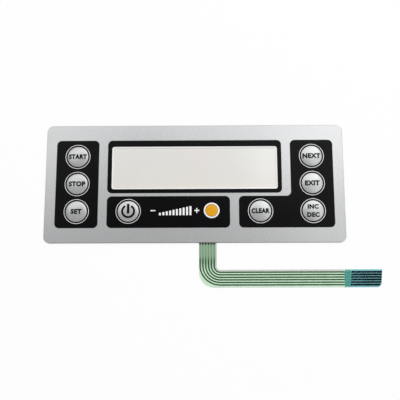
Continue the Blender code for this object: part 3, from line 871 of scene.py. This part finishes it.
class KEYPAD_OT_centre_signs(Piece, bpy.types.Operator):
    """Print a level graph and set a round lamp in the middle field"""
    bl_idname = "keypad.centre_signs"
    bl_label = "Middle field's signs"

    def execute(self, context):
        bm = bmesh.new()
        base, first, pitch, width = -13.1, -14.2, 1.35, 0.8
        for i in range(10):
            x = first + i * pitch
            add_outline(bm, rectangle(x, base, x + width, base + 1.0 + 0.3 * i, 0.15))
        minus, plus, middle, arm, half = -16.6, 0.9, -11.2, 1.0, 0.22
        add_outline(bm, rectangle(minus - arm, middle - half, minus + arm, middle + half, 0.0))
        add_outline(bm, plus_sign(plus, middle, arm, half))
        fill(bm)
        thicken(bm, INK_TOP, INK_TOP + WHITE_INK)
        finish_piece("level_graph", bm, white_ink())
        x, y, radius, rise = 6.8, -11.2, 2.5, 0.12
        lens = [(radius * i / 8, INK_TOP + rise * math.sqrt(1 - (i / 8) ** 2)) for i in range(9)]
        lens.append((0.0, INK_TOP))
        finish_piece("lamp_lens", spun(lens, x, y), amber_lens(), smooth=True)
        ring = arch(middle=2.85, half=0.3, base=INK_TOP, height=0.08)
        finish_piece("lamp_ring", spun(ring, x, y, loop=True), bright_ring(), smooth=True)
        return {"FINISHED"}


class KEYPAD_OT_circuit_tail(Piece, bpy.types.Operator):
    """Coat the circuit film and finish the tail's conductors and contacts"""
    bl_idname = "keypad.circuit_tail"
    bl_label = "Circuit tail"

    def execute(self, context):
        low, high = box("circuit_film")
        bm = cut_sheet([circuit_outline(), window_opening(-CIRCUIT_MARGIN)], [], low.z, high.z)
        finish_piece("circuit_sheet", bm, circuit_polyester(), ["circuit_film"])
        bm = cut_sheet([coat_outline()], [], high.z + COAT_BOTTOM, high.z + COAT_TOP)
        finish_piece("green_coat", bm, green_coat())
        dress("tail_stiffener", blue_stiffener())
        for number in range(1, 7):
            dress(f"conductor_{number}", coated_conductor())
            dress(f"tail_contact_{number}", carbon_ink())
        return {"FINISHED"}


def coat_outline():
    """The green coat's outline: up the drop into the panel, and along the run to the tail's end."""
    left, low = TAIL_LOW[0] + COAT_MARGINS["left"], TAIL_LOW[1] + COAT_MARGINS["low"]
    right, high = TAIL_HIGH[0] - COAT_MARGINS["right"], TAIL_HIGH[1] - COAT_MARGINS["high"]
    end = COAT_END + 0.3
    return [(left, COAT_INSIDE, 0.0), (left, low, COAT_BEND), (end, low, 0.0), (end, high, 0.0),
            (right, high, COAT_INNER_BEND), (right, COAT_INSIDE, 0.0)]


def circuit_outline():
    """The circuit film's outline: the panel's own, with the bent tail in one piece with it."""
    (left, low), (right, high) = TAIL_LOW, TAIL_HIGH
    x, y, r = PANEL_HIGH.x, PANEL_HIGH.y, sizes().panel_corner / MM
    end = box("circuit_film")[1].x - TAIL_SKEW / 2

    def end_x(height, back):
        return end - back + TAIL_SKEW * (height - TAIL_MIDDLE) / (high - low)

    cut = low + TAIL_CHAMFER
    return [(-x, -y, r), (left, -y, TAIL_ROOT), (left, low, TAIL_BEND),
            (end_x(low, TAIL_CHAMFER), low, 0.0), (end_x(cut, 0.0), cut, 0.0), (end_x(high, 0.0), high, 0.0),
            (right, high, TAIL_INNER_BEND), (right, -y, TAIL_ROOT), (x, -y, r), (x, y, r), (-x, y, r)]


class KEYPAD_OT_inner_layers(Piece, bpy.types.Operator):
    """Finish the window, the paper and the layers inside the panel"""
    bl_idname = "keypad.inner_layers"
    bl_label = "Inner layers"

    def execute(self, context):
        for node, make in (("display_window", hazed_window), ("release_liner", release_paper),
                           ("rear_adhesive", clear_adhesive), ("overlay_adhesive", clear_adhesive),
                           ("dome_spacer", milky_spacer)):
            dress(node, make())
        for key in KEYS:
            dress(f"{key}_actuator", natural_plastic())
            dome = f"{key}_dome"
            dress(dome, spring_steel())
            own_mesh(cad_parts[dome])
        return {"FINISHED"}


def dress(node, material):
    """Gives a CAD node that stays its own material."""
    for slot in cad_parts[node].material_slots:
        slot.material = material


class KEYPAD_OT_stage(Piece, bpy.types.Operator):
    """Set the floor, the studio light and the camera"""
    bl_idname = "keypad.stage"
    bl_label = "Stage"

    def execute(self, context):
        floor_under_keypad()
        studio_light()
        camera_of_photograph()
        return {"FINISHED"}


def floor_under_keypad():
    bm = bmesh.new()
    bmesh.ops.create_grid(bm, x_segments=1, y_segments=1, size=FLOOR_SIZE,
                          matrix=Matrix.Translation((0.0, 0.0, FLOOR_HEIGHT)))
    material, tree, shader = principled("pale floor", Roughness=0.9, Specular_IOR_Level=0.1)
    paleness = mixed(tree, clouds(tree, 3.0), (0.87, 0.87, 0.87), (0.90, 0.90, 0.90))
    tree.links.new(paleness, shader.inputs["Base Color"])
    output = next(node for node in tree.nodes if node.type == "OUTPUT_MATERIAL")
    white = tree.nodes.new("ShaderNodeEmission")
    white.inputs["Color"].default_value = (1.0, 1.0, 1.0, 1.0)
    white.inputs["Strength"].default_value = 1.0
    path = tree.nodes.new("ShaderNodeLightPath")
    seen = maths(tree, "MAXIMUM", path.outputs["Is Camera Ray"],
                 maths(tree, "MAXIMUM", path.outputs["Is Glossy Ray"], path.outputs["Is Transmission Ray"]))
    share = maths(tree, "MULTIPLY", seen, FLOOR_WHITENESS)
    blend = tree.nodes.new("ShaderNodeMixShader")
    tree.links.new(share, blend.inputs[0])
    tree.links.new(shader.outputs["BSDF"], blend.inputs[1])
    tree.links.new(white.outputs["Emission"], blend.inputs[2])
    # The floor is clear from below, and lets short diffuse rays light the back that lies on it.
    side = tree.nodes.new("ShaderNodeNewGeometry")
    through = tree.nodes.new("ShaderNodeMixShader")
    clear = tree.nodes.new("ShaderNodeBsdfTransparent")
    touching = maths(tree, "MULTIPLY", path.outputs["Is Diffuse Ray"],
                     maths(tree, "LESS_THAN", path.outputs["Ray Length"], FLOOR_TOUCH))
    tree.links.new(maths(tree, "MAXIMUM", side.outputs["Backfacing"], touching), through.inputs[0])
    tree.links.new(blend.outputs["Shader"], through.inputs[1])
    tree.links.new(clear.outputs["BSDF"], through.inputs[2])
    tree.links.new(through.outputs["Shader"], output.inputs["Surface"])
    floor = add_object("floor", bm, material)


def studio_light():
    world = bpy.data.worlds.new("studio")
    bpy.context.scene.world = world
    world.use_nodes = True
    tree = world.node_tree
    tree.nodes.clear()
    output = tree.nodes.new("ShaderNodeOutputWorld")
    soft, white, pick = (tree.nodes.new("ShaderNodeBackground"), tree.nodes.new("ShaderNodeBackground"),
                         tree.nodes.new("ShaderNodeMixShader"))
    soft.inputs["Color"].default_value = (1.0, 1.0, 1.0, 1.0)
    soft.inputs["Strength"].default_value = STUDIO_STRENGTH
    white.inputs["Strength"].default_value = 1.0
    white.inputs["Color"].default_value = (1.0, 1.0, 1.0, 1.0)
    path = tree.nodes.new("ShaderNodeLightPath")
    tree.links.new(path.outputs["Is Camera Ray"], pick.inputs[0])
    tree.links.new(soft.outputs["Background"], pick.inputs[1])
    tree.links.new(white.outputs["Background"], pick.inputs[2])
    tree.links.new(pick.outputs["Shader"], output.inputs["Surface"])
    for values in LAMPS:
        lamp(*values)


def lamp(name, place, width, energy):
    """A round lamp that shines at the panel's middle."""
    light = bpy.data.lights.new(name, "AREA")
    light.shape = "DISK"
    light.size = width
    light.energy = energy
    holder = bpy.data.objects.new(name, light)
    turn = (-Vector(place)).to_track_quat("-Z", "Y").to_matrix().to_4x4()
    holder.matrix_world = Matrix.Translation(place) @ turn
    holder.visible_camera = False
    bpy.context.scene.collection.objects.link(holder)


def camera_of_photograph():
    lens = bpy.data.cameras.new("camera")
    lens.lens = CAMERA_LENS
    lens.sensor_width = CAMERA_SENSOR
    lens.clip_start = 0.01
    lens.clip_end = 20.0
    camera = bpy.data.objects.new("camera", lens)
    back = (CAMERA_PLACE - CAMERA_AIM).normalized()
    right = CAMERA_UP.cross(back).normalized()
    up = back.cross(right)
    turn = Matrix((right, up, back)).transposed()
    camera.matrix_world = Matrix.Translation(CAMERA_PLACE) @ turn.to_4x4()
    bpy.context.scene.collection.objects.link(camera)
    bpy.context.scene.camera = camera
    bpy.context.scene.view_settings.view_transform = "Standard"


class KEYPAD_PT_sidebar(bpy.types.Panel):
    bl_idname = "KEYPAD_PT_sidebar"
    bl_label = "Membrane keypad"
    bl_space_type = "VIEW_3D"
    bl_region_type = "UI"
    bl_category = "Keypad"

    def draw(self, context):
        layout = self.layout
        for group in (context.scene.keypad_sizes, context.scene.keypad_colours):
            column = layout.column()
            for name in type(group).__annotations__:
                column.prop(group, name)
        column = layout.column()
        for operator in OPERATORS:
            column.operator(operator.bl_idname)


OPERATORS = (
    KEYPAD_OT_overlay, KEYPAD_OT_key_faces, KEYPAD_OT_black_fields, KEYPAD_OT_key_rings,
    KEYPAD_OT_legends, KEYPAD_OT_centre_signs, KEYPAD_OT_circuit_tail, KEYPAD_OT_inner_layers,
    KEYPAD_OT_stage,
)
CLASSES = (KeypadSizes, KeypadColours, *OPERATORS, KEYPAD_PT_sidebar)


def register():
    for item in CLASSES:
        bpy.utils.register_class(item)
    bpy.types.Scene.keypad_sizes = PointerProperty(type=KeypadSizes)
    bpy.types.Scene.keypad_colours = PointerProperty(type=KeypadColours)


def unregister():
    del bpy.types.Scene.keypad_colours
    del bpy.types.Scene.keypad_sizes
    for item in reversed(CLASSES):
        bpy.utils.unregister_class(item)


def main():
    register()
    bpy.ops.keypad.overlay()
    bpy.ops.keypad.key_faces()
    bpy.ops.keypad.black_fields()
    bpy.ops.keypad.key_rings()
    bpy.ops.keypad.legends()
    bpy.ops.keypad.centre_signs()
    bpy.ops.keypad.circuit_tail()
    bpy.ops.keypad.inner_layers()
    bpy.ops.keypad.stage()


if __name__ == "__main__":
    main()
